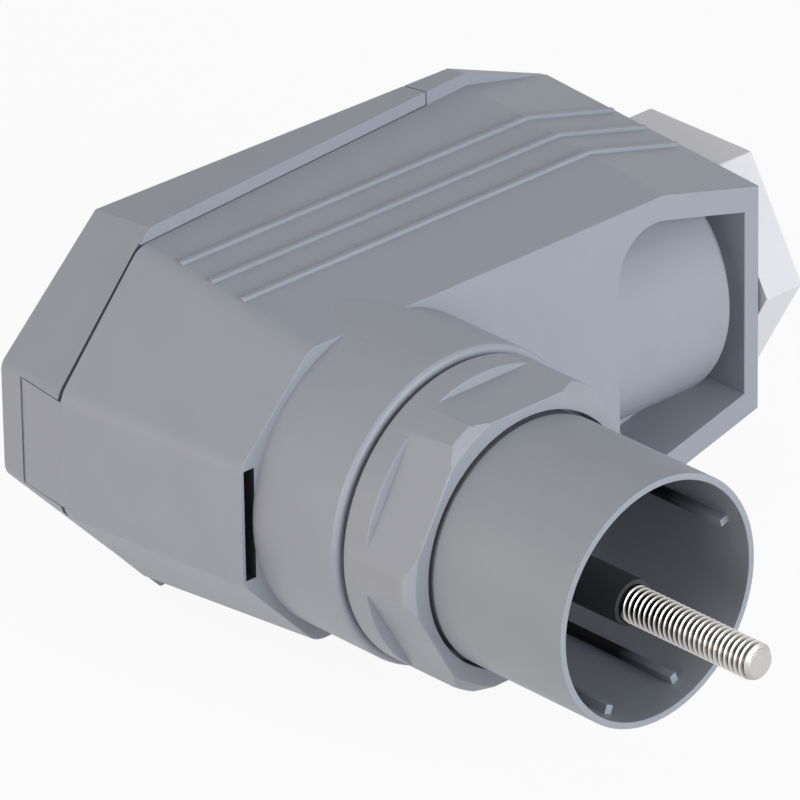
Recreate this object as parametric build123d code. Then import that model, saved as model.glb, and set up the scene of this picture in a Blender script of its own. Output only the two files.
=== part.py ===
import os
from math import cos, radians, sin, tan

from build123d import *

os.makedirs("parts", exist_ok=True)

# Angled electrical plug, in millimetres.
# X runs along the mating axis and out of the mouth, Y towards the cable entry, Z up.
# The origin is on the mating axis in the plane of the mouth.

# Clearances
turn_gap = 0.3
seat_gap = 0.1
thread_gap = 0.05

# Mating sleeve
sleeve_bore_r = 12.7
sleeve_wall = 0.75
sleeve_reach = 18.4
sleeve_relief = 0.25
sleeve_land = 0.2
flange_t = 1.2
flange_lap = 0.6
collar_lap = 1.1
guide_angles = (18, 248, 292)
guide_width = 0.9
guide_height = 1.0
guide_setback = 2.4
sleeve_gasket_t = 0.5

# Union nut
nut_length = 9.8
nut_r = 16.55
nut_flange = 3.5
nut_apothem_back = 15.35
nut_apothem_front = 14.9
nut_turn = 0.0
nut_lip = 2.2
nut_edge = 0.4
nut_bevel = 1.0

# Housing outline: distances of the faces from the mating axis, at the seam and at the front face
neck_length = 11.95
neck_r = 17.2
neck_edge = 0.6
housing_depth = 26.25
seam_tilt = 4.35
near_seam = 21.05
near_front = 18.75
near_cut_seam = 19.8
near_cut_front = 18.05
near_slope = 46.0
near_round = 3.0
half_seam = 19.25
half_front = 16.7
kink = 40.9
far_seam = 53.6
far_front = 54.9
far_slope = 14.8
wall = 2.2
slot_depth = 6.0
skirt = 0.45
slot_half = 6.2
slot_bite = 0.3
neck_wall = 2.2
carrier_lip = 1.5

# Ribs on top and bottom
rib_first = 5.95
rib_pitch = 4.6
rib_count = 3
rib_width = 0.65
rib_height = 0.4
rib_setback = 1.0
rib_stop = 0.4

# Gland end
plate_edge = 34.5
strip = 2.85
end_wall = 2.1
pocket_depth = 8.0
pocket_round = 5.0
boss_r = 13.9
boss_setback = 0.15
boss_round = 0.8
boss_step = 2.3
boss_step_length = 1.6
gland_thread_r = 10.6
gland_af = 26.0
gland_head = 5.2
gland_bore_r = 8.2
cable_hole_r = 7.5
gland_shank = 11.8
gland_edge = 0.25
gland_washer_t = 0.7
gland_seal_bore_r = 6.5
gland_seal_length = 6.0

# Rear rim, shared by the cover and the gland end of the housing
rim_depth = 8.05
rim_height = 1.55
rim_tilt = 0.97
rim_near_back = 19.7
rim_cut_back = 18.5
rim_half_back = 19.78
rim_kink = 40.5
rim_slope = 20.0
back_tilt = 3.15

# Rear cover
cover_end = 34.5
cover_back = 2.2
cover_round = 2.0
gasket_t = 0.5
gasket_width = 0.8
tongue_length = 5.2
tongue_half = 6.0
tongue_t = 1.15
tongue_gap = 0.5

# Cover fasteners
fixing_r = 1.45
fixing_length = 9.0
fixing_head_r = 2.75
fixing_head = 1.8
fixing_boss_r = 3.2
fixing_sunk = 2.2
fixing_kerf = 0.35

# Central screw
screw_drop = 1.5
screw_r = 2.0
screw_shank_r = 1.7
screw_out = 14.2
screw_thread = 17.7
screw_tip = 0.5
screw_head_r = 3.5
screw_head = 2.4
screw_slot = 1.0
screw_sunk = 3.0
screw_boss_r = 5.2
washer_r = 3.7
washer_t = 0.5
seal_t = 0.8
clip_t = 0.7
clip_r = 3.1

# Contact carrier and contacts
carrier_t = 7.4
carrier_step = 0.5
pillar_r = 2.5
pillar_setback = 3.6
contact_circle_r = 7.6
contact_r = 1.9
contact_bore_r = 1.2
contact_depth = 6.0
contact_recess = 0.3
barrel_r = 2.4
barrel_length = 16.0
wire_bore_r = 1.5
wire_depth = 8.0
clamp_r = 1.2
clamp_length = 2.6
clamp_setback = 2.6
clamp_kerf = 0.5

# Places along the mating axis
sleeve_r = sleeve_bore_r + sleeve_wall
sleeve_root_r = sleeve_r - sleeve_relief
lip_r = sleeve_r + turn_gap
flange_r = lip_r + flange_lap - turn_gap
spigot_r = flange_r
nut_bore_r = spigot_r + turn_gap
x_nut_front = -sleeve_reach
x_lip = x_nut_front - nut_lip
x_flange = x_lip - turn_gap
x_flange_back = x_flange - flange_t
x_spigot = x_flange_back - sleeve_gasket_t
x_nut_back = x_nut_front - nut_length
x_neck = x_nut_back - turn_gap
x_front = x_neck - neck_length
x_seam = x_front - housing_depth
x_cover = x_seam - gasket_t
x_back = x_seam - rim_depth
x_cavity = x_front - slot_depth - wall
collar_r = sleeve_bore_r - collar_lap
carrier_r = sleeve_bore_r - carrier_step
carrier_bore_r = carrier_r + seat_gap
x_carrier_front = x_flange_back
x_carrier_back = x_carrier_front - carrier_t
x_gland = x_front - boss_setback - boss_r


def across(x):
    return Plane(origin=(x, 0, 0), x_dir=(0, 1, 0), z_dir=(1, 0, 0))


def rod_x(radius, x_from, x_to, y=0.0, z=0.0):
    return extrude(across(x_from) * Pos(y, z) * Circle(radius), x_to - x_from)


def tube_x(outer, inner, x_from, x_to, y=0.0, z=0.0):
    return extrude(across(x_from) * Pos(y, z) * (Circle(outer) - Circle(inner)), x_to - x_from)


def entry(y):
    return Plane(origin=(x_gland, y, 0), x_dir=(1, 0, 0), z_dir=(0, 1, 0))


def rod_y(radius, y_from, y_to):
    return extrude(entry(y_from) * Circle(radius), y_to - y_from)


def tube_y(outer, inner, y_from, y_to):
    return extrude(entry(y_from) * (Circle(outer) - Circle(inner)), y_to - y_from)


def block(x_from, x_to, y_from, y_to, z_from, z_to):
    size = Box(x_to - x_from, y_to - y_from, z_to - z_from)
    return Pos((x_from + x_to) / 2, (y_from + y_to) / 2, (z_from + z_to) / 2) * size


def between(x, x_a, at_a, x_b, at_b):
    return at_a + (at_b - at_a) * (x - x_a) / (x_b - x_a)


def drafted(x, at_seam, at_front):
    return between(x, x_seam, at_seam, x_front, at_front)


def seam_at(y):
    return x_seam - y * tan(radians(seam_tilt))


def back_at(y):
    return x_back + y * tan(radians(back_tilt))


def meet(first, second):
    angle_a, dist_a = first
    angle_b, dist_b = second
    turn = sin(radians(angle_b - angle_a))
    y = (dist_a * sin(radians(angle_b)) - dist_b * sin(radians(angle_a))) / turn
    z = (dist_b * cos(radians(angle_a)) - dist_a * cos(radians(angle_b))) / turn
    return y, z


def outline(lines, out):
    grown = [(angle, dist + out) for angle, dist in lines]
    upper = [meet(grown[k], grown[k + 1]) for k in range(len(grown) - 1)]
    return upper + [(y, -z) for y, z in reversed(upper)]


def corners(x, out=0.0, past_end=0.0):
    half = drafted(x, half_seam, half_front)
    far_cut = kink * sin(radians(far_slope)) + half * cos(radians(far_slope))
    near = (180, drafted(x, near_seam, near_front))
    near_cut = (90 + near_slope, drafted(x, near_cut_seam, near_cut_front))
    far_end = (0, drafted(x, far_seam, far_front) + past_end)
    return outline([near, near_cut, (90, half), (90 - far_slope, far_cut), far_end], out)


def rim_corners(x, out=0.0):
    half = between(x, x_seam, half_seam + rim_height, x_back, rim_half_back)
    rim_top = half + rim_kink * sin(radians(rim_tilt))
    far_cut = rim_kink * sin(radians(rim_slope)) + rim_top * cos(radians(rim_slope))
    x_joint = seam_at(-near_seam)
    near_joint = drafted(x_joint, near_seam, near_front)
    cut_joint = drafted(x_joint, near_cut_seam, near_cut_front)
    near = (180, between(x, x_joint, near_joint, x_back, rim_near_back))
    near_cut = (90 + near_slope, between(x, x_joint, cut_joint, x_back, rim_cut_back))
    far_end = (0, drafted(x, far_seam, far_front))
    return outline([near, near_cut, (90 + rim_tilt, half), (90 - rim_slope, far_cut), far_end], out)


def behind(x, tilt):
    return Pos(x, 0, 0) * Rot(0, 0, tilt) * block(-wide, 0, -wide, wide, -wide, wide)


def behind_seam(shift):
    return behind(x_seam + shift, seam_tilt)


def behind_back(shift):
    return behind(x_back + shift, -back_tilt)


def frustum(x_from, points_from, x_to, points_to):
    first = [(x_from, y, z) for y, z in points_from]
    last = [(x_to, y, z) for y, z in points_to]
    loops = [first, last]
    for k in range(len(first)):
        n = (k + 1) % len(first)
        loops.append([first[k], first[n], last[n], last[k]])
    return Solid(Shell([Face(Wire.make_polygon(loop, close=True)) for loop in loops]))


def moulded(x_from, x_to, out=0.0):
    return frustum(x_from, corners(x_from, out), x_to, corners(x_to, out))


def rim(x_from, x_to, out=0.0):
    return frustum(x_from, rim_corners(x_from, out), x_to, rim_corners(x_to, out))


def near_edges(body):
    lengthwise = body.edges().filter_by(lambda edge: abs(edge.tangent_at(0.5).X) > 0.9)
    return lengthwise.sort_by(Axis.Y)


wide = 4 * far_front
x_ahead = x_seam + rim_depth
x_rear = x_back - rim_depth

# Housing: one tapered moulding, open at the back, with the neck, the spigot and the gland end on it
shell = moulded(x_rear, x_front)
shell = fillet(near_edges(shell)[:4], near_round)
shell -= behind_seam(0)
rear_end = (rim(x_rear, x_ahead) & behind_seam(0)) - behind_back(0)
shell += rear_end & block(x_rear, x_front, cover_end + seat_gap, wide, -wide, wide)
tongue_back = tongue_t - near_seam
tongue_block = block(x_seam - tongue_length, x_front, -wide, tongue_back, -tongue_half, tongue_half)
tongue = (rear_end + shell) & tongue_block

pocket_end = far_front - end_wall
pocket_face = make_face(Polyline(*corners(x_front, -strip, pocket_round + strip), close=True))
pocket_face = pocket_face & Pos(plate_edge + wide / 2, 0) * Rectangle(wide, wide)
pocket_face = offset(offset(pocket_face, -pocket_round), pocket_round)
pocket_face = pocket_face & Pos(pocket_end - wide / 2, 0) * Rectangle(wide, wide)
shell -= extrude(across(x_front - pocket_depth) * pocket_face, pocket_depth + wall)
boss_end = pocket_end - boss_step_length
boss = rod_y(boss_r, plate_edge, boss_end)
shell += fillet(boss.edges().sort_by(Axis.Y)[-1:], boss_round)
shell += rod_y(boss_r - boss_step, boss_end, far_front)

neck = rod_x(neck_r, x_cavity, x_neck)
shell += fillet(neck.edges().sort_by(Axis.X)[-1:], neck_edge)
shell += rod_x(spigot_r, x_neck, x_spigot)
shell -= block(x_front - slot_depth, x_front, skirt - near_front, slot_bite - neck_r, -slot_half, slot_half)

for k in range(rib_count):
    x_rib = x_seam + rib_first + k * rib_pitch
    start, bend, end = corners(x_rib)[1:4]
    stop = (end[0] - rib_stop, end[1] + rib_stop * tan(radians(far_slope)))
    line = [(start[0] + rib_setback, start[1]), bend, stop]
    raised = [(y, z + rib_height) for y, z in line]
    sunk = [(y, z - rib_height) for y, z in reversed(line)]
    rib_face = make_face(Polyline(*raised, *sunk, close=True))
    rib = extrude(across(x_rib - rib_width / 2) * rib_face, rib_width)
    shell += rib
    shell += mirror(rib, about=Plane.XY)

cavity = moulded(x_rear, x_cavity, -wall)
cavity_end = cover_end - wall
cavity = cavity & block(x_rear - wide, x_front, -wide, cavity_end, -wide, wide)

fixing_z = half_seam - wall / 2 - fixing_boss_r
fixing_near = corners(x_seam)[1][0] + fixing_boss_r
fixing_far = cover_end - wall / 2 - fixing_boss_r
fixing_places = []
for y in (fixing_near, fixing_far):
    for z in (-fixing_z, fixing_z):
        fixing_places.append((y, z))
for y, z in fixing_places:
    cavity -= rod_x(fixing_boss_r, x_rear, x_cavity, y, z)
shell -= cavity
x_lip_back = x_carrier_back - carrier_lip
shell -= rod_x(neck_r - neck_wall, x_cavity - wall, x_lip_back)
shell -= rod_x(carrier_r - carrier_lip, x_lip_back - wall, x_carrier_back)
shell -= rod_x(carrier_bore_r, x_carrier_back, x_spigot + wall)
hole_r = fixing_r + thread_gap
for y, z in fixing_places:
    shell -= rod_x(hole_r, x_rear, seam_at(y) + fixing_length, y, z)

gland_corner = gland_af / 2 / cos(radians(30))
y_head = far_front + turn_gap
y_shank = y_head - gland_shank
y_washer = y_shank - turn_gap - gland_washer_t
y_seal = y_washer - gland_seal_length
shell -= rod_y(gland_thread_r, y_seal, y_head + wall)
shell -= rod_y(cable_hole_r, cavity_end - wall, y_seal)
housing = shell + tongue

# Rear cover: a shallow lid whose top and bottom edges stand proud of the housing
lid = rim(x_rear, x_ahead)
lid = fillet(near_edges(lid)[:2], cover_round)
lid = (lid & behind_seam(0)) - behind_back(0)
lid = lid & block(x_rear, x_ahead, -wide, cover_end, -wide, wide)
lid -= moulded(x_rear, x_ahead) - behind_seam(-gasket_t)
hollow = rim(x_rear, x_ahead, -wall) - behind_back(cover_back)
hollow = hollow & block(x_rear, x_ahead, -wide, cavity_end, -wide, wide)
for y, z in fixing_places:
    hollow -= rod_x(fixing_boss_r, x_rear, x_ahead, y, z)
x_screw_boss = x_cover + seat_gap - clip_t - turn_gap
hollow -= rod_x(screw_boss_r, x_rear, x_screw_boss, 0, -screw_drop)
lid -= hollow
x_tongue = x_seam - tongue_length - tongue_gap
notch_half = tongue_half + seat_gap
lid -= block(x_tongue, x_ahead, -wide, tongue_back + seat_gap, -notch_half, notch_half)
for y, z in fixing_places:
    lid -= rod_x(fixing_r + seat_gap, x_rear, x_ahead, y, z)
    lid -= rod_x(fixing_head_r + seat_gap, x_rear, back_at(y) + fixing_sunk, y, z)
x_screw_floor = x_back + screw_sunk
lid -= rod_x(screw_shank_r + turn_gap, x_rear, x_ahead, 0, -screw_drop)
lid -= rod_x(washer_r + turn_gap, x_rear, x_screw_floor, 0, -screw_drop)
rear_cover = lid

# Cover gasket: a flat cut ring inside the seam
inner_edge = wall - seat_gap
outer_edge = inner_edge - gasket_width
gasket_ring = moulded(x_rear, x_ahead, -outer_edge)
gasket_ring = gasket_ring & block(x_rear, x_ahead, -wide, cover_end - outer_edge, -wide, wide)
window = moulded(x_rear, x_ahead, -inner_edge)
window = window & block(x_rear, x_ahead, -wide, cover_end - inner_edge, -wide, wide)
cover_gasket = ((gasket_ring - window) & behind_seam(0)) - behind_seam(-gasket_t)

# Cover fasteners: slotted heads sunk in the lid
fasteners = []
for y, z in fixing_places:
    x_under = back_at(y) + fixing_sunk
    x_top = x_under - fixing_head
    head = rod_x(fixing_head_r, x_top, x_under, y, z)
    x_kerf = x_top + fixing_head / 2
    head -= block(x_top - wall, x_kerf, y - wide, y + wide, z - fixing_kerf, z + fixing_kerf)
    reach = seam_at(y) + fixing_length - seat_gap
    fasteners.append(head + rod_x(fixing_r, x_under, reach, y, z))
cover_screws = Compound(children=fasteners)

# Union nut: round flange behind, six drafted flats in front
x_flats = x_nut_back + nut_flange
flats = [nut_turn + 60 * k for k in range(6)]
hex_back = [Vector(nut_apothem_back / cos(radians(30)), 0).rotate(Axis.Z, a) for a in flats]
hex_front = [point * (nut_apothem_front / nut_apothem_back) for point in hex_back]
hexagon = frustum(x_flats, [(p.X, p.Y) for p in hex_back], x_nut_front, [(p.X, p.Y) for p in hex_front])
turned = rod_x(nut_r, x_flats, x_nut_front)
turned = chamfer(turned.edges().sort_by(Axis.X)[-1:], nut_bevel)
nut = rod_x(nut_r, x_nut_back, x_flats) + (hexagon & turned)
nut = chamfer(nut.faces().sort_by(Axis.X)[0].edges(), nut_edge)
nut -= rod_x(nut_bore_r, x_nut_back - wall, x_lip)
nut -= rod_x(lip_r, x_lip - wall, x_nut_front + wall)
union_nut = nut

# Contact sleeve: a thin tube with a clamping flange and guide ribs inside
x_land = x_nut_front + sleeve_land
sleeve = tube_x(sleeve_r, sleeve_bore_r, x_land, 0)
sleeve += tube_x(sleeve_root_r, sleeve_bore_r, x_flange, x_land)
sleeve += tube_x(flange_r, collar_r, x_flange_back, x_flange)
guide_foot = sleeve_bore_r + sleeve_wall / 2
guide_top = sleeve_bore_r - guide_height
guide_half = guide_width / 2
guide = block(x_flange, -guide_setback, guide_top, guide_foot, -guide_half, guide_half)
for angle in guide_angles:
    sleeve += Rot(angle, 0, 0) * guide
contact_sleeve = sleeve
sleeve_gasket = tube_x(flange_r - seat_gap, carrier_bore_r + seat_gap, x_spigot, x_flange_back)

# Contact carrier: insulating disc with a pillar for the screw
bore_r = screw_shank_r + turn_gap
carrier = rod_x(carrier_r, x_carrier_back, x_carrier_front)
carrier += rod_x(pillar_r, x_carrier_front, -pillar_setback, 0, -screw_drop)
carrier -= rod_x(bore_r, x_carrier_back - wall, wall, 0, -screw_drop)
contact_angles = (45, 135, 225, 315)
places = [(contact_circle_r * cos(radians(a)), contact_circle_r * sin(radians(a))) for a in contact_angles]
for y, z in places:
    carrier -= rod_x(contact_r + thread_gap, x_carrier_back - wall, x_carrier_front + wall, y, z)
contact_carrier = carrier

# Contacts: turned socket in front, clamp barrel behind
contacts = []
clamps = []
x_barrel = x_carrier_back - barrel_length
x_clamp = x_barrel + clamp_setback
for angle, (y, z) in zip(contact_angles, places):
    x_tip = x_carrier_front - contact_recess
    contact = rod_x(contact_r, x_carrier_back, x_tip, y, z)
    contact += rod_x(barrel_r, x_barrel, x_carrier_back, y, z)
    contact -= rod_x(contact_bore_r, x_tip - contact_depth, x_tip + wall, y, z)
    contact -= rod_x(wire_bore_r, x_barrel - wall, x_barrel + wire_depth, y, z)
    radial = (0, cos(radians(angle)), sin(radians(angle)))
    outward = Plane(origin=(x_clamp, y, z), x_dir=(1, 0, 0), z_dir=radial)
    contact -= extrude(outward * Circle(clamp_r + thread_gap), barrel_r + wall)
    contacts.append(contact)
    stub = extrude(outward.offset(barrel_r - clamp_length / 2) * Circle(clamp_r), clamp_length)
    kerf = Rectangle(4 * clamp_r, clamp_kerf)
    stub -= extrude(outward.offset(barrel_r + clamp_length / 4) * kerf, clamp_length)
    clamps.append(stub)

# Central screw: reduced shank, threaded end, slotted head sunk in the cover
x_head = x_screw_floor - seal_t - turn_gap - washer_t
x_thread = screw_out - screw_thread
x_screw_end = x_head - screw_head
slot_low = -screw_drop - screw_slot / 2
slot_high = -screw_drop + screw_slot / 2
screw = rod_x(screw_head_r, x_screw_end, x_head, 0, -screw_drop)
screw -= block(x_screw_end - wall, x_head - screw_head / 2, -wide, wide, slot_low, slot_high)
screw += rod_x(screw_shank_r, x_head, x_thread, 0, -screw_drop)
thread = rod_x(screw_r, x_thread, screw_out, 0, -screw_drop)
thread = chamfer(thread.faces().sort_by(Axis.X)[-1].edges(), screw_tip)
central_screw = screw + thread
screw_washer = tube_x(washer_r, screw_shank_r + thread_gap, x_head, x_head + washer_t, 0, -screw_drop)
x_seal = x_screw_floor - seal_t
screw_seal = tube_x(washer_r, screw_shank_r + turn_gap, x_seal, x_screw_floor, 0, -screw_drop)
x_clip = x_screw_boss + turn_gap
screw_clip = tube_x(clip_r, screw_shank_r + thread_gap, x_clip, x_clip + clip_t, 0, -screw_drop)

# Gland: hollow pressure screw, thrust washer and rubber ring
gland = extrude(entry(y_head) * RegularPolygon(gland_af / 2, 6, major_radius=False), gland_head)
cap = extrude(entry(y_head) * Circle(gland_corner), gland_head)
cap = chamfer(cap.faces().sort_by(Axis.Y)[-1].edges(), gland_edge)
gland = gland & cap
gland += rod_y(gland_thread_r - turn_gap, y_shank, y_head)
gland -= rod_y(gland_bore_r, y_shank - wall, y_head + gland_head + wall)
gland_screw = gland
ring_r = gland_thread_r - seat_gap
gland_washer = tube_y(ring_r, gland_bore_r + seat_gap, y_washer, y_washer + gland_washer_t)
gland_seal = tube_y(ring_r, gland_seal_bore_r, y_seal, y_washer)

pieces = {
    "housing": housing,
    "rear_cover": rear_cover,
    "cover_gasket": cover_gasket,
    "cover_screws": cover_screws,
    "union_nut": union_nut,
    "contact_sleeve": contact_sleeve,
    "sleeve_gasket": sleeve_gasket,
    "contact_carrier": contact_carrier,
    "contact_1": contacts[0],
    "contact_2": contacts[1],
    "contact_3": contacts[2],
    "earth_contact": contacts[3],
    "terminal_screw_1": clamps[0],
    "terminal_screw_2": clamps[1],
    "terminal_screw_3": clamps[2],
    "terminal_screw_4": clamps[3],
    "central_screw": central_screw,
    "screw_washer": screw_washer,
    "screw_seal": screw_seal,
    "screw_clip": screw_clip,
    "gland_screw": gland_screw,
    "gland_washer": gland_washer,
    "gland_seal": gland_seal,
}
for name, piece in pieces.items():
    export_step(piece, f"parts/{name}.step")
    solids = piece.solids()
    print(name, len(solids), [round(s.volume, 1) for s in solids])
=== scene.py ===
import bmesh
import bpy
from math import cos, pi, radians, sin
from mathutils import Matrix, Vector
from mathutils.bvhtree import BVHTree
from mathutils.kdtree import KDTree


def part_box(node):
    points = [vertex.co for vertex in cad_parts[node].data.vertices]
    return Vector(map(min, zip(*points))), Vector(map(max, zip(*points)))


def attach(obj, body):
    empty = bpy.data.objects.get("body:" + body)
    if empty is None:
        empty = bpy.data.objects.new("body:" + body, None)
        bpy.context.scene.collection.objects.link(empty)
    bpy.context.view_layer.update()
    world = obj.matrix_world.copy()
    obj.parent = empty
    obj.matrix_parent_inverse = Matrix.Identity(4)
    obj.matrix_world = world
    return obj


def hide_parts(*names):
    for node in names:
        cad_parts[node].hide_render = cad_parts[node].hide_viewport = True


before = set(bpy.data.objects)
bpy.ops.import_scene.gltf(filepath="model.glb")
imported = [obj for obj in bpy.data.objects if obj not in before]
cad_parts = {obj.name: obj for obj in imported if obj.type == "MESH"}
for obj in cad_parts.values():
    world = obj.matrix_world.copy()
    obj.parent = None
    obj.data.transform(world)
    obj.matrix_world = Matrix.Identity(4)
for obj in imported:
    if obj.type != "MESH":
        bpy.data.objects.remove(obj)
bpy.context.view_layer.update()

# Housing: the angled grey body with the neck, the gland end and three low ribs on top and bottom.
# Injection moulded in glass-filled polyamide with a fine spark-eroded texture and soft tool edges.
# Everything else is screwed or pressed into it.
MM = 0.001
housing_grey = (0.292, 0.312, 0.362)
housing_edge = 0.15 * MM
edge_steps = 2
weld = 0.001 * MM

slit_low = Vector((-47.5, -18.4, -6.3)) * MM
slit_high = Vector((-40.0, -15.9, 6.3)) * MM
# Painted shade: the faces inside the slit beside the neck are coloured near black to stand for the deep
# shadow there.
slit_painted_shade = (0.035, 0.036, 0.04)

flow_scale = 140.0
flow_detail = 4.0
flow_tint = 0.04
grain_detail = 2.0
spark_grain = 6500.0
spark_depth = 0.012 * MM
spark_strength = 0.5
satin_rough = 0.46
satin_shine = 0.5
matt_rough = 0.7
matt_shine = 0.2
plastic_gloss_spread = 0.06
plastic_ior = 1.5

flat_turn = radians(0.6)
soft_turn = radians(2)
sharp_turn = radians(35)
run_bend = radians(30)
flat_width = 1.6 * MM
stray_reach = 4.0
stray_depth = 0.6
flipped_weight = 1.0
crossed_weight = 0.5
worst_share = 0.6


def new_finish(name):
    material = bpy.data.materials.new(name)
    material.use_nodes = True
    return material, material.node_tree.nodes["Principled BSDF"], material.node_tree.links


def toned(colour, share=1.0):
    return [share * value for value in colour] + [1.0]


def mottle(material, scale, detail=grain_detail):
    nodes = material.node_tree.nodes
    place = nodes.new("ShaderNodeTexCoord")
    cloud = nodes.new("ShaderNodeTexNoise")
    cloud.inputs["Scale"].default_value = scale
    cloud.inputs["Detail"].default_value = detail
    material.node_tree.links.new(place.outputs["Object"], cloud.inputs["Vector"])
    return cloud.outputs["Fac"]


# Goes from one colour to another; each of them may also be the output of another node.
def colour_between(material, factor, first, second):
    links = material.node_tree.links
    mix = material.node_tree.nodes.new("ShaderNodeMix")
    mix.data_type = "RGBA"
    links.new(factor, mix.inputs["Factor"])
    for name, colour in (("A", first), ("B", second)):
        if isinstance(colour, bpy.types.NodeSocket):
            links.new(colour, mix.inputs[name])
        else:
            mix.inputs[name].default_value = colour
    return mix.outputs["Result"]


def uneven_gloss(material, factor, rough, spread):
    gloss = material.node_tree.nodes.new("ShaderNodeMapRange")
    gloss.inputs["To Min"].default_value = rough - spread
    gloss.inputs["To Max"].default_value = rough + spread
    material.node_tree.links.new(factor, gloss.inputs["Value"])
    return gloss.outputs["Result"]


def fine_relief(material, height, strength, depth):
    bump = material.node_tree.nodes.new("ShaderNodeBump")
    bump.inputs["Strength"].default_value = strength
    bump.inputs["Distance"].default_value = depth
    material.node_tree.links.new(height, bump.inputs["Height"])
    return bump.outputs["Normal"]


def moulded_plastic(name, colour, grain=spark_grain, depth=spark_depth, rough=satin_rough, shine=satin_shine):
    material, shader, links = new_finish(name)
    flow = mottle(material, flow_scale, flow_detail)
    tint = colour_between(material, flow, toned(colour, 1.0 - flow_tint), toned(colour, 1.0 + flow_tint))
    links.new(tint, shader.inputs["Base Color"])
    sparks = mottle(material, grain)
    links.new(uneven_gloss(material, sparks, rough, plastic_gloss_spread), shader.inputs["Roughness"])
    links.new(fine_relief(material, sparks, spark_strength, depth), shader.inputs["Normal"])
    shader.inputs["IOR"].default_value = plastic_ior
    shader.inputs["Specular IOR Level"].default_value = shine
    return material


# Softens the sharp edges of a moulding; a run of edges whose rounding would fold over itself stays sharp.
def rounded(node, edge_size, body, material):
    source = bmesh.new()
    source.from_mesh(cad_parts[node].data)
    bmesh.ops.remove_doubles(source, verts=source.verts, dist=weld)
    bmesh.ops.dissolve_limit(source, angle_limit=flat_turn, verts=source.verts, edges=source.edges)
    source.verts.index_update()
    source.edges.index_update()
    surface = BVHTree.FromBMesh(source)
    points = KDTree(len(source.verts))
    for vert in source.verts:
        points.insert(vert.co, vert.index)
    points.balance()
    sharp = [edge for edge in source.edges if edge.is_convex and edge.calc_face_angle(0.0) > sharp_turn]
    runs = edge_runs([edge for edge in sharp if not in_slit(edge.verts)])
    while True:
        work = source.copy()
        work.edges.ensure_lookup_table()
        chosen = [work.edges[edge.index] for run in runs for edge in run]
        bmesh.ops.bevel(work, geom=chosen, offset=edge_size, offset_type="OFFSET", segments=edge_steps,
                        profile=0.5, affect="EDGES", clamp_overlap=False, material=-1)
        spoilt = spoilt_corners(work, points, surface, edge_size)
        marks = [max(spoilt.get(vert.index, 0.0) for edge in run for vert in edge.verts) for run in runs]
        allowed = worst_share * max(marks)
        sound = [run for run, mark in zip(runs, marks) if mark <= allowed]
        if len(sound) == len(runs):
            break
        runs = sound
        work.free()
    source.free()
    bmesh.ops.dissolve_degenerate(work, dist=weld, edges=work.edges)
    return finished(work, node + "_shown", node, body, material)


def in_slit(verts):
    return all(slit_low[i] < vert.co[i] < slit_high[i] for vert in verts for i in range(3))


# Puts together the edges that follow each other without a corner between them.
def edge_runs(sharp):
    wanted = set(sharp)
    taken = set()
    runs = []
    for first in sharp:
        if first in taken:
            continue
        taken.add(first)
        run = [first]
        for here in run:
            for vert in here.verts:
                after = [edge for edge in vert.link_edges if edge in wanted and edge != here]
                if len(after) != 1 or after[0] in taken:
                    continue
                if bend_between(here, after[0], vert) < run_bend:
                    taken.add(after[0])
                    run.append(after[0])
        runs.append(run)
    return runs


def bend_between(first, second, vert):
    return (vert.co - first.other_vert(vert).co).angle(second.other_vert(vert).co - vert.co)


# Marks the corners whose rounding strays from the moulding, turns a face over or crosses another face.
def spoilt_corners(work, points, surface, edge_size):
    far = stray_reach * edge_size
    deep = stray_depth * edge_size
    spoilt = {}
    for vert in work.verts:
        excess = max(points.find(vert.co)[2] / far, surface.find_nearest(vert.co)[3] / deep)
        if excess > 1.0:
            around = [edge.other_vert(vert) for edge in vert.link_edges]
            blame(spoilt, [vert] + around, points, far, excess)
    for face in work.faces:
        if face.calc_area() < far * far:
            normal = surface.find_nearest(face.calc_center_median())[1]
            if normal.dot(face.normal) < 0.0:
                blame(spoilt, face.verts, points, far, flipped_weight)
    work.faces.ensure_lookup_table()
    bent = BVHTree.FromBMesh(work)
    for pair in bent.overlap(bent):
        first, second = [work.faces[index] for index in pair]
        if not set(first.verts) & set(second.verts):
            smaller = min(first, second, key=lambda face: face.calc_area())
            blame(spoilt, smaller.verts, points, far, crossed_weight)
    return spoilt


def blame(spoilt, verts, points, far, excess):
    for vert in verts:
        place, index, away = points.find(vert.co)
        if away < far:
            spoilt[index] = max(spoilt.get(index, 0.0), excess)


# Shades flats flat and curves round, and puts the piece in the place of its plain CAD node.
def finished(work, name, node, body, material):
    mesh = bpy.data.meshes.new(name)
    for face in work.faces:
        face.smooth = True
        face.material_index = 0
    for edge in work.edges:
        turn = edge.calc_face_angle(0.0)
        across = min(face.calc_area() for face in edge.link_faces) / edge.calc_length()
        edge.smooth = turn < sharp_turn and (turn < soft_turn or across < flat_width)
    work.to_mesh(mesh)
    work.free()
    mesh.materials.clear()
    mesh.materials.append(material)
    piece = bpy.data.objects.new(name, mesh)
    bpy.context.scene.collection.objects.link(piece)
    even = piece.modifiers.new("even_shading", "WEIGHTED_NORMAL")
    even.keep_sharp = True
    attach(piece, body)
    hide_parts(node)
    return piece


grey_plastic = moulded_plastic("grey_plastic_grain", housing_grey)
housing = rounded("housing", housing_edge, "plug_body", grey_plastic)
# The slit's inner faces get the near-black painted shade instead of the housing grey.
housing.data.materials.append(moulded_plastic("slit_shade", slit_painted_shade, rough=matt_rough, shine=matt_shine))
for face in housing.data.polygons:
    if in_slit([housing.data.vertices[index] for index in face.vertices]):
        face.material_index = 1

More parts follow.
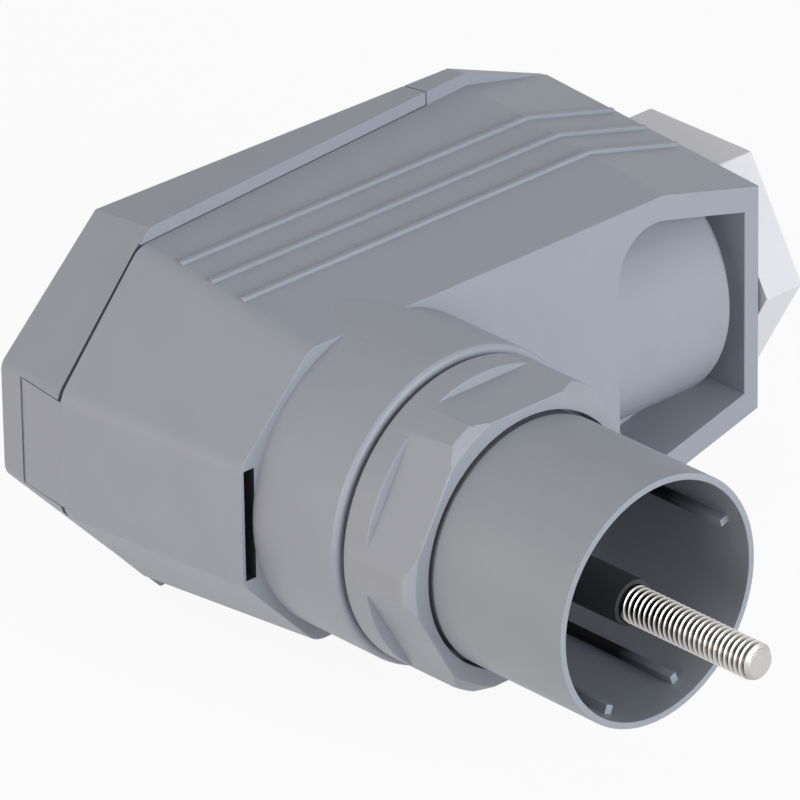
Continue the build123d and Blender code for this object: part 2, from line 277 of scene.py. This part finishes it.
# Contact carrier, contacts and terminal screws: a black phenolic disc pressed in the neck, holding
# four turned brass sockets, each with a small plated clamp screw in its barrel.
carrier_black = (0.05, 0.052, 0.057)
brass_yellow = (0.74, 0.55, 0.25)
brass_rough = 0.28
zinc_white = (0.78, 0.765, 0.73)
zinc_rough = 0.3
stain_scale = 900.0
stain_detail = 5.0
stain_share = 0.9
lathe_scale = 5200.0
lathe_strength = 0.25
lathe_depth = 0.004 * MM
metal_gloss_spread = 0.08


def turned_metal(name, colour, rough):
    material, shader, links = new_finish(name)
    shader.inputs["Metallic"].default_value = 1.0
    stains = mottle(material, stain_scale, stain_detail)
    tint = colour_between(material, stains, toned(colour, stain_share), toned(colour))
    links.new(tint, shader.inputs["Base Color"])
    links.new(uneven_gloss(material, stains, rough, metal_gloss_spread), shader.inputs["Roughness"])
    lathe = mottle(material, lathe_scale)
    links.new(fine_relief(material, lathe, lathe_strength, lathe_depth), shader.inputs["Normal"])
    return material


def dress(node, material):
    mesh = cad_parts[node].data
    mesh.materials.clear()
    mesh.materials.append(material)


black_plastic = moulded_plastic("black_plastic_grain", carrier_black, rough=matt_rough, shine=matt_shine)
brass = turned_metal("turned_brass", brass_yellow, brass_rough)
plated = turned_metal("zinc_plated_steel", zinc_white, zinc_rough)
dress("contact_carrier", black_plastic)
for node in ("contact_1", "contact_2", "contact_3", "earth_contact"):
    dress(node, brass)
for node in ("terminal_screw_1", "terminal_screw_2", "terminal_screw_3", "terminal_screw_4"):
    dress(node, plated)

# Cover gasket and rear cover: a flat rubber ring in the seam, and a shallow moulded lid over it.
# The lid is the same grey as the housing and is held by four sunk slotted screws.
rubber_black = (0.02, 0.02, 0.021)
rubber_grain = 3000.0
rubber_depth = 0.02 * MM

rubber = moulded_plastic("black_rubber", rubber_black, grain=rubber_grain, depth=rubber_depth,
                         rough=matt_rough)
dress("cover_gasket", rubber)
rounded("rear_cover", housing_edge, "plug_body", grey_plastic)
dress("cover_screws", plated)

# Central screw: a captive zinc-plated M4 screw right through the plug, loose in its hole, with a rolled
# thread at the front and a slotted head behind, on a washer and a rubber seal and kept by a clip.
# The thread roots carry painted shade, darkest at the back inside the sleeve and lighter towards the cropped
# tip.
screw_low = -1.5 * MM
pitch = 0.7 * MM
crest = 2.0 * MM
root = 1.57 * MM
root_flat = 0.1
crest_from = 0.45
crest_to = 0.55
thread_from = -3.5 * MM
thread_to = 14.2 * MM
thread_weld = 0.002 * MM
spare_turns = 2
steps_per_turn = 48
tip_chamfer = 0.5 * MM
tip_from = thread_to - 1.3 * tip_chamfer
shank_gap = 0.01 * MM
sliver = 0.003 * MM

crest_white = (0.80, 0.78, 0.745)
# Painted shade in the thread roots: it is full at the root and fades out from this radius to the crest.
root_shade_fades_from = root + 0.35 * (crest - root)
root_shade_back = (0.012, 0.012, 0.014)
root_shade_front = (0.22, 0.21, 0.2)
root_shade_back_at = 0.0
root_shade_front_at = 9.0 * MM
tip_grey = (0.53, 0.515, 0.495)
tip_rough = 0.5


def cut_off(work, place, outward):
    everything = work.verts[:] + work.edges[:] + work.faces[:]
    cut = bmesh.ops.bisect_plane(work, geom=everything, plane_co=(place, 0, 0), plane_no=outward,
                                 clear_outer=True)
    rim = [item for item in cut["geom_cut"] if isinstance(item, bmesh.types.BMEdge)]
    bmesh.ops.edgeloop_fill(work, edges=rim)


# Rises from 0 at one place along the mating axis to 1 at another.
def along_axis(material, back, front):
    nodes = material.node_tree.nodes
    links = material.node_tree.links
    place = nodes.new("ShaderNodeTexCoord")
    axes = nodes.new("ShaderNodeSeparateXYZ")
    links.new(place.outputs["Object"], axes.inputs["Vector"])
    nearness = nodes.new("ShaderNodeMapRange")
    nearness.inputs["From Min"].default_value = back
    nearness.inputs["From Max"].default_value = front
    links.new(axes.outputs["X"], nearness.inputs["Value"])
    return nearness.outputs["Result"]


# Lays a colour under the one that a finish has, which then shows in full where the factor is 1.
def darkened(material, factor, dark):
    base = material.node_tree.nodes["Principled BSDF"].inputs["Base Color"]
    mixed = colour_between(material, factor, dark, base.links[0].from_socket)
    material.node_tree.links.new(mixed, base)


thread = bmesh.new()
turns = int((thread_to - thread_from) / pitch) + 2 * spare_turns
start = thread_from - spare_turns * pitch
profile = [(0.0, root), (root_flat, root), (crest_from, crest),
           (crest_to, crest), (1.0 - root_flat, root), (1.0, root)]
corners = [thread.verts.new((start + along * pitch, 0.0, radius)) for along, radius in profile]
rails = [thread.edges.new(pair) for pair in zip(corners, corners[1:])]
bmesh.ops.spin(thread, geom=corners + rails, cent=(0, 0, 0), axis=(1, 0, 0),
               dvec=(pitch / steps_per_turn, 0, 0), angle=2 * pi * turns,
               steps=turns * steps_per_turn, use_merge=False)
bmesh.ops.remove_doubles(thread, verts=thread.verts, dist=thread_weld)
cut_off(thread, thread_from, (-1, 0, 0))
cut_off(thread, thread_to, (1, 0, 0))
for vert in thread.verts:
    radius = Vector((0, vert.co.y, vert.co.z)).length
    allowed = crest - max(0.0, vert.co.x - (thread_to - tip_chamfer))
    if radius > allowed:
        vert.co.y *= allowed / radius
        vert.co.z *= allowed / radius
bmesh.ops.translate(thread, verts=thread.verts, vec=(0, 0, screw_low))
bmesh.ops.recalc_face_normals(thread, faces=thread.faces)
shank = bmesh.new()
shank.from_mesh(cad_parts["central_screw"].data)
bmesh.ops.remove_doubles(shank, verts=shank.verts, dist=weld)
cut_off(shank, thread_from - shank_gap, (1, 0, 0))
shank_mesh = bpy.data.meshes.new("screw_shank_form")
shank.to_mesh(shank_mesh)
shank.free()
thread.from_mesh(shank_mesh)
bpy.data.meshes.remove(shank_mesh)
bmesh.ops.remove_doubles(thread, verts=thread.verts, dist=sliver)
bmesh.ops.dissolve_degenerate(thread, dist=weld, edges=thread.edges)

rolled = turned_metal("rolled_thread", crest_white, zinc_rough)
nodes = rolled.node_tree.nodes
links = rolled.node_tree.links
place = nodes.new("ShaderNodeTexCoord")
off_axis = nodes.new("ShaderNodeVectorMath")
off_axis.operation = "MULTIPLY_ADD"
off_axis.inputs[1].default_value = (0.0, 1.0, 1.0)
off_axis.inputs[2].default_value = (0.0, 0.0, -screw_low)
links.new(place.outputs["Object"], off_axis.inputs[0])
from_axis = nodes.new("ShaderNodeVectorMath")
from_axis.operation = "LENGTH"
links.new(off_axis.outputs["Vector"], from_axis.inputs[0])
height = nodes.new("ShaderNodeMapRange")
height.inputs["From Min"].default_value = root_shade_fades_from
height.inputs["From Max"].default_value = crest
links.new(from_axis.outputs["Value"], height.inputs["Value"])
# The painted root shade is near black at the back, where the sleeve shades the thread, and grey towards the
# tip.
root_shade_towards_tip = along_axis(rolled, root_shade_back_at, root_shade_front_at)
painted_root_shade = colour_between(rolled, root_shade_towards_tip, toned(root_shade_back), toned(root_shade_front))
darkened(rolled, height.outputs["Result"], painted_root_shade)
screw = finished(thread, "central_screw_shown", "central_screw", "fixing_screw", rolled)
screw.data.materials.append(plated)
screw.data.materials.append(turned_metal("cropped_end", tip_grey, tip_rough))
for face in screw.data.polygons:
    if face.center.x < thread_from:
        face.material_index = 1
    elif face.center.x > tip_from:
        face.material_index = 2
dress("screw_washer", plated)
dress("screw_seal", rubber)
dress("screw_clip", plated)

# Sleeve gasket and contact sleeve: a thin ring of rubber, and the round grey tube that goes over the
# appliance's inlet, moulded with a clamping flange and three guide ribs inside.
# Its bore is coloured darker than the outside, with painted shade that gets darker towards the back.
sleeve_grey = (0.268, 0.29, 0.327)
sleeve_edge = 0.14 * MM
inside_bore = 12.68 * MM
inside_ribs = inside_bore - 0.15 * MM
front_facing = 0.5
lining_grey = (0.088, 0.096, 0.105)
lining_full_shade_at = -15.0 * MM
lining_no_shade_at = 0.0
rib_grey = (0.29, 0.31, 0.35)
rib_full_shade_at = -10.0 * MM
rib_no_shade_at = -3.5 * MM
painted_depth_shade = (0.012, 0.012, 0.014)


# Paints shade into the bore: the colour fades to near black towards the back, where the tube is deep in
# shadow.
def painted_shade_lining(name, colour, full_shade_at, no_shade_at):
    material = moulded_plastic(name, colour, rough=matt_rough, shine=matt_shine)
    darkened(material, along_axis(material, full_shade_at, no_shade_at), toned(painted_depth_shade))
    return material


dress("sleeve_gasket", rubber)
sleeve_plastic = moulded_plastic("sleeve_grain", sleeve_grey)
sleeve = rounded("contact_sleeve", sleeve_edge, "plug_body", sleeve_plastic)
sleeve.data.materials.append(painted_shade_lining("painted_shade_lining", lining_grey, lining_full_shade_at, lining_no_shade_at))
sleeve.data.materials.append(painted_shade_lining("rib_painted_shade", rib_grey, rib_full_shade_at, rib_no_shade_at))
# The bore's faces and the sides of the guide ribs get the painted shade.
for face in sleeve.data.polygons:
    radius = Vector((face.center.y, face.center.z)).length
    if radius < inside_bore and face.normal.x < front_facing:
        face.material_index = 2 if radius < inside_ribs else 1

# Union nut: the ring that clamps the sleeve on the spigot, round behind with six drafted flats in front.
# Moulded in the same polyamide and turned by hand or with a spanner.
nut_grey = (0.292, 0.31, 0.355)
nut_edge = 0.16 * MM

nut_plastic = moulded_plastic("nut_grain", nut_grey)
rounded("union_nut", nut_edge, "ring_nut", nut_plastic)

# Gland: a rubber ring and a steel washer inside, and a pale grey hexagon screw that presses them
# round the cable. Moulded, with a chamfer round the outer face.
gland_grey = (0.68, 0.675, 0.70)
gland_edge = 0.2 * MM

dress("gland_seal", rubber)
dress("gland_washer", plated)
pale_plastic = moulded_plastic("pale_grain", gland_grey)
rounded("gland_screw", gland_edge, "pressure_screw", pale_plastic)

# Studio: a sheet of white paper just under the plug, which keeps its shadow, in a white room.
# Three round soft lamps stand in front, on the left and above. The paper and the room look
# white to the camera and in reflections, and light the plug less than they look.
floor_half = 3.0
floor_gap = 0.05 * MM
paper_white = (0.8, 0.8, 0.8)
paper_glow = 0.93
room_white = (1.0, 1.0, 1.0)
room_light = 0.27
room_look = 1.0
lamp_aim = Vector((-35.0, 10.0, 0.0)) * MM


# Is 1 for what the camera sees straight, in a reflection or through glass, and 0 for light on the plug.
def looked_at(tree):
    rays = tree.nodes.new("ShaderNodeLightPath")
    seen = rays.outputs["Is Camera Ray"]
    for kind in ("Is Glossy Ray", "Is Transmission Ray"):
        either = tree.nodes.new("ShaderNodeMath")
        either.operation = "MAXIMUM"
        tree.links.new(seen, either.inputs[0])
        tree.links.new(rays.outputs[kind], either.inputs[1])
        seen = either.outputs["Value"]
    return seen


def soft_lamp(name, direction, distance, size, power, colour):
    lamp = bpy.data.lights.new(name, "AREA")
    lamp.shape = "DISK"
    lamp.size = size
    lamp.energy = power
    lamp.color = colour
    stand = bpy.data.objects.new(name, lamp)
    towards = Vector(direction).normalized()
    facing = towards.to_track_quat("Z", "Y").to_matrix().to_4x4()
    stand.matrix_world = Matrix.Translation(lamp_aim + distance * towards) @ facing
    bpy.context.scene.collection.objects.link(stand)


low = min(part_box(node)[0].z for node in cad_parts)
sheet = bmesh.new()
bmesh.ops.create_grid(sheet, x_segments=1, y_segments=1, size=floor_half)
bmesh.ops.translate(sheet, verts=sheet.verts, vec=(0, 0, low - floor_gap))
floor_mesh = bpy.data.meshes.new("floor")
sheet.to_mesh(floor_mesh)
sheet.free()
floor = bpy.data.objects.new("floor", floor_mesh)
bpy.context.scene.collection.objects.link(floor)

paper = bpy.data.materials.new("white_paper")
paper.use_nodes = True
nodes = paper.node_tree.nodes
links = paper.node_tree.links
nodes.remove(nodes["Principled BSDF"])
lit = nodes.new("ShaderNodeBsdfDiffuse")
lit.inputs["Color"].default_value = toned(paper_white)
glow = nodes.new("ShaderNodeEmission")
share = nodes.new("ShaderNodeMath")
share.operation = "MULTIPLY"
share.inputs[1].default_value = paper_glow
links.new(looked_at(paper.node_tree), share.inputs[0])
both = nodes.new("ShaderNodeMixShader")
links.new(share.outputs["Value"], both.inputs["Fac"])
links.new(lit.outputs["BSDF"], both.inputs[1])
links.new(glow.outputs["Emission"], both.inputs[2])
links.new(both.outputs["Shader"], nodes["Material Output"].inputs["Surface"])
floor_mesh.materials.append(paper)

room = bpy.data.worlds.new("studio")
bpy.context.scene.world = room
room.use_nodes = True
nodes = room.node_tree.nodes
links = room.node_tree.links
walls = nodes["Background"]
walls.inputs["Color"].default_value = toned(room_white)
level = nodes.new("ShaderNodeMapRange")
level.inputs["To Min"].default_value = room_light
level.inputs["To Max"].default_value = room_look
links.new(looked_at(room.node_tree), level.inputs["Value"])
links.new(level.outputs["Result"], walls.inputs["Strength"])

soft_lamp("front_lamp", direction=(1.0, 0.05, 0.2), distance=0.6, size=0.45, power=3.55,
          colour=(0.98, 1.0, 1.03))
soft_lamp("left_lamp", direction=(0.0, -1.0, 0.1), distance=0.6, size=0.45, power=2.85,
          colour=(1.0, 0.9, 0.8))
soft_lamp("top_lamp", direction=(-0.1, 0.1, 1.0), distance=0.7, size=0.5, power=0.65,
          colour=(0.97, 0.985, 1.0))

# Camera: a long lens about a metre away, at the photograph's angle, looking down on the mouth,
# the near wall and the top. It is rolled by a hair, as the photograph is.
camera_turn = radians(47.07)
camera_rise = radians(27.03)
camera_roll = radians(-0.90)
camera_aim = Vector((-45.29, 7.73, 3.18)) * MM
camera_distance = 960.82 * MM
focal_length = 423.3
sensor_width = 36.0
sight_end = 20.0

view = Vector((sin(camera_turn) * cos(camera_rise), -cos(camera_turn) * cos(camera_rise), sin(camera_rise)))
right = Vector((cos(camera_turn), sin(camera_turn), 0.0))
up = view.cross(right)
level_x = cos(camera_roll) * right + sin(camera_roll) * up
level_y = -sin(camera_roll) * right + cos(camera_roll) * up
lens = bpy.data.cameras.new("camera")
lens.sensor_width = sensor_width
lens.lens = focal_length
lens.clip_end = sight_end
camera = bpy.data.objects.new("camera", lens)
axes = Matrix((level_x, level_y, view)).transposed().to_4x4()
camera.matrix_world = Matrix.Translation(camera_aim + camera_distance * view) @ axes
bpy.context.scene.collection.objects.link(camera)
bpy.context.scene.camera = camera
bpy.context.scene.view_settings.view_transform = "Standard"
